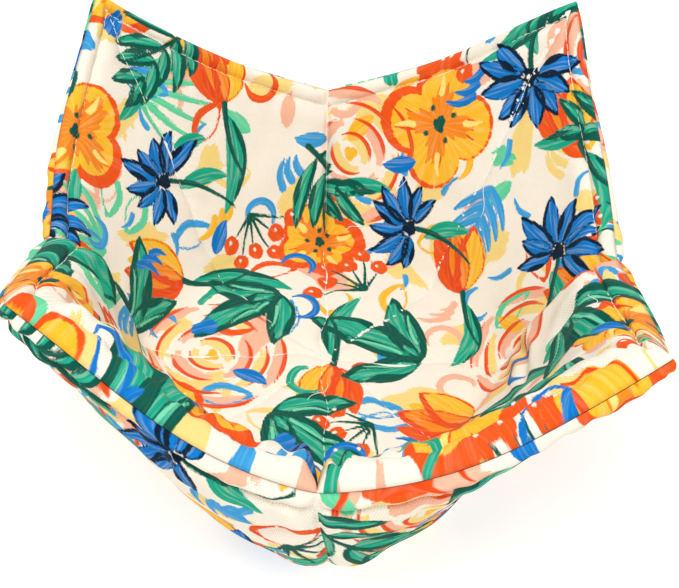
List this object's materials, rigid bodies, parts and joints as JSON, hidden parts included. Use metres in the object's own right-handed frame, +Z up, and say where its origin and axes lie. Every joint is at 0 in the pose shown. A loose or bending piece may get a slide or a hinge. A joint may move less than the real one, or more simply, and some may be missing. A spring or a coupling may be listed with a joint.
{
  "type": "microwave bowl cozy",
  "caption": "Padded, quilted cotton bowl holder with darted sides, raised corners and a topstitched rim, in a painterly botanical print.",
  "frame": {"origin": "middle of the base, on the surface that the bowl holder stands on", "axes": "+Z up, -Y to the front dart, +X to the right dart; the raised corners lie on the diagonals between the darts"},
  "size_m": [0.2106, 0.2196, 0.1097],
  "materials": {
    "outer_print": "printed cotton canvas, painterly botanical print in orange, green and blue on cream",
    "inner_print": "printed cotton canvas, painterly botanical print in orange, green and blue on cream",
    "batting": "white cotton batting",
    "thread": "off-white sewing thread"
  },
  "bodies": {
    "root": {"outer_cotton": "outer_print", "outer_batting": "batting", "inner_batting": "batting", "inner_cotton": "inner_print", "outer_quilting": "thread", "inner_quilting": "thread", "outer_topstitching": "thread", "inner_topstitching": "thread"}
  },
  "joints": []
}
